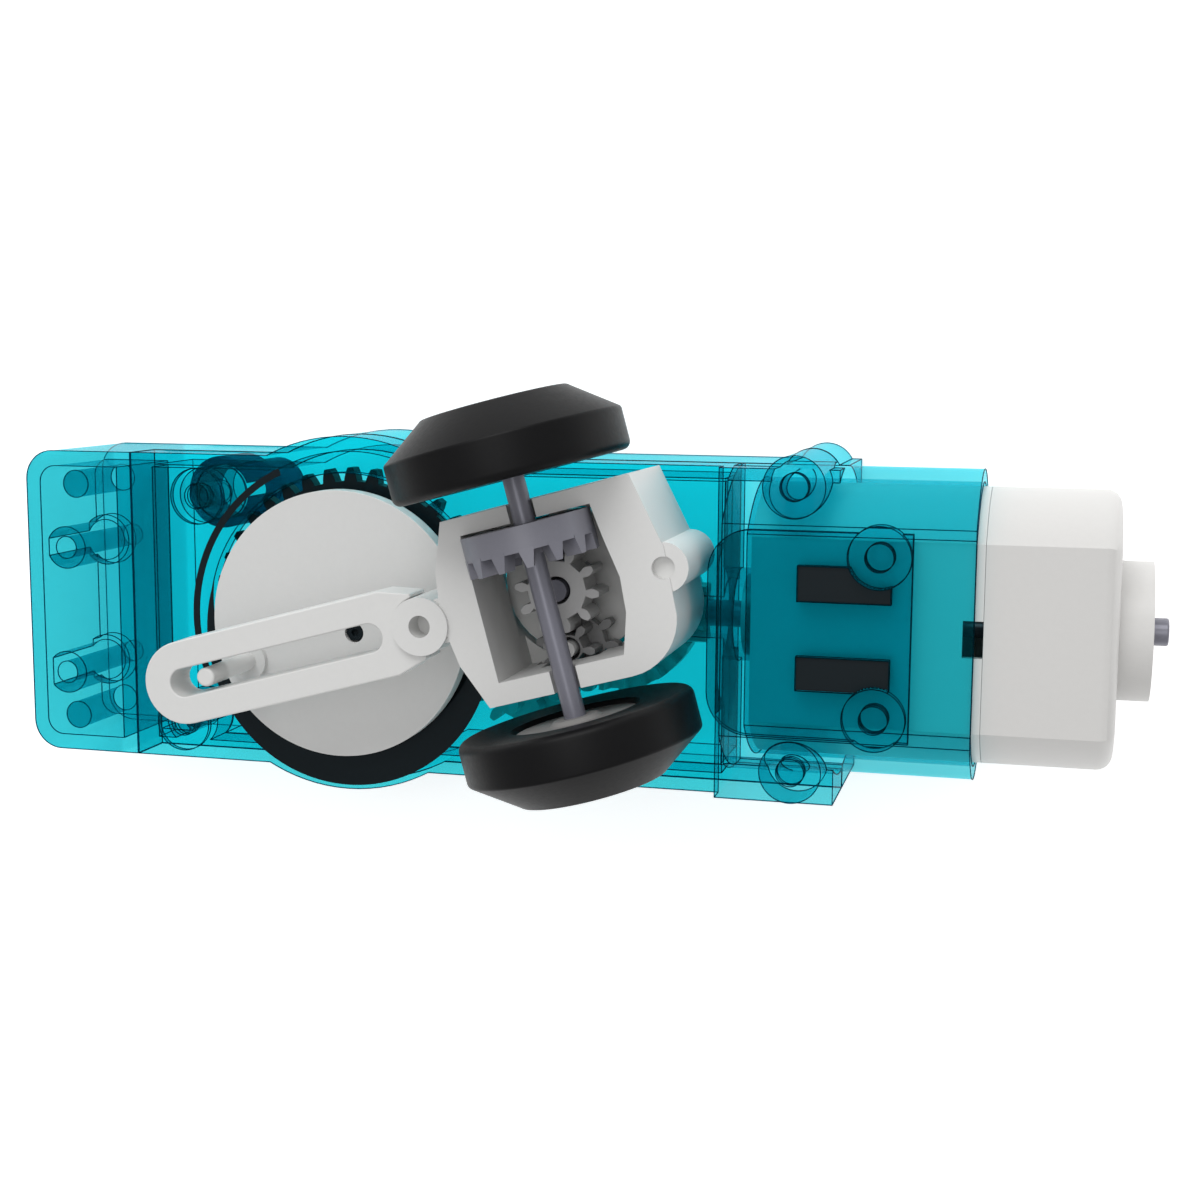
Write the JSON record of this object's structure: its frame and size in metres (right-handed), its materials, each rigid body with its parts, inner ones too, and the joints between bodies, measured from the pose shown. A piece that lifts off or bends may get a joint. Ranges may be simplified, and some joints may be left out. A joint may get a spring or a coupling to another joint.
{
  "type": "steered wheel drive module",
  "caption": "Geared motor module whose crank swings a slotted yoke that carries a driven pair of bevelled wheels",
  "frame": {"origin": "On the flat back, directly behind the motor's axis and level with the yoke's steering axis", "axes": "+Z out of the wheel side, +X along the motor's axis towards its end bell, +Y across the module"},
  "size_m": [0.0886, 0.0322, 0.0303],
  "materials": {
    "clear": "clear tinted moulding",
    "white": "moulded",
    "motor": "moulded",
    "can": "drawn",
    "steel": "ground",
    "violet": "moulded",
    "pale": "moulded",
    "dark": "moulded",
    "black": "moulded",
    "rubber": "moulded",
    "magnet": "sintered",
    "copper": "wound"
  },
  "bodies": {
    "base": {"case_back": "clear", "case_front": "clear", "motor_pad_a": "black", "motor_pad_b": "black", "motor_can": "can", "motor_end_bell": "motor", "motor_magnet_a": "magnet", "motor_magnet_b": "magnet", "face_gear_pin": "steel", "idler_pin": "steel", "pivot_ring": "white"},
    "rotor": {"motor_shaft": "steel", "motor_rotor": "copper", "motor_pinion": "pale"},
    "face": {"face_gear": "white"},
    "idler": {"idler_gear": "pale"},
    "crank": {"crank_shaft": "steel", "crank_gear": "black", "crank_disc": "white", "crank_pin": "white"},
    "drive": {"steer_gear": "pale", "drive_shaft": "steel", "drive_pinion": "steel"},
    "yoke": {"yoke_cage": "white", "yoke_arm": "white"},
    "back": {"back_gear": "dark"},
    "light": {"light_gear": "pale"},
    "wheels": {"axle": "steel", "crown_gear": "violet", "hub_a": "dark", "hub_b": "dark", "tyre_a": "rubber", "tyre_b": "rubber"}
  },
  "joints": [
    {"name": "crank_turn", "type": "hinge", "parent": "base", "child": "crank", "pos_m": [-0.0186, -0.0014, 0.0099], "axis": [0, 0, 1], "range_deg": [-70, 7]},
    {"name": "yoke_swing", "type": "hinge", "parent": "base", "child": "yoke", "pos_m": [0.0002, 0.0026, 0.013], "axis": [0, 0, 1], "range_deg": [-20.7, 2.5]},
    {"name": "idler_turn", "type": "hinge", "parent": "base", "child": "idler", "pos_m": [-0.00465, -0.00498, 0.009], "axis": [0, 0, 1], "range_deg": [-27.1, 266.5]},
    {"name": "face_turn", "type": "hinge", "parent": "base", "child": "face", "pos_m": [0.00135, 0, 0.006], "axis": [0, 0, 1], "range_deg": [-426.1, 43.1]},
    {"name": "motor_turn", "type": "hinge", "parent": "base", "child": "rotor", "pos_m": [0.008, 0, 0.0086], "axis": [1, 0, 0], "range_deg": [-1383.7, 138.8]},
    {"name": "drive_turn", "type": "hinge", "parent": "base", "child": "drive", "pos_m": [0.0002, 0.0026, 0.0099], "axis": [0, 0, 1], "range_deg": [-133.5, 13.8]},
    {"name": "back_turn", "type": "hinge", "parent": "yoke", "child": "back", "pos_m": [0.00084, -0.00175, 0.0148], "axis": [0, 0, 1], "range_deg": [-7.3, 68.2]},
    {"name": "light_turn", "type": "hinge", "parent": "yoke", "child": "light", "pos_m": [0.0002, 0.0026, 0.017], "axis": [0, 0, 1], "range_deg": [-41.1, 4.6]},
    {"name": "wheel_turn", "type": "hinge", "parent": "yoke", "child": "wheels", "pos_m": [0.0002, 0.0026, 0.0218], "axis": [-0.2639, 0.9646, 0], "range_deg": [-29.5, 3.4]}
  ],
  "couplings": [
    {"joint": "yoke_swing", "follows": "crank_turn", "ratio": 0.288},
    {"joint": "idler_turn", "follows": "crank_turn", "ratio": -3.8},
    {"joint": "face_turn", "follows": "crank_turn", "ratio": 6.08},
    {"joint": "motor_turn", "follows": "crank_turn", "ratio": 19.76},
    {"joint": "drive_turn", "follows": "crank_turn", "ratio": 1.9},
    {"joint": "back_turn", "follows": "crank_turn", "ratio": -0.9672},
    {"joint": "light_turn", "follows": "crank_turn", "ratio": 0.58032},
    {"joint": "wheel_turn", "follows": "crank_turn", "ratio": 0.41451}
  ]
}
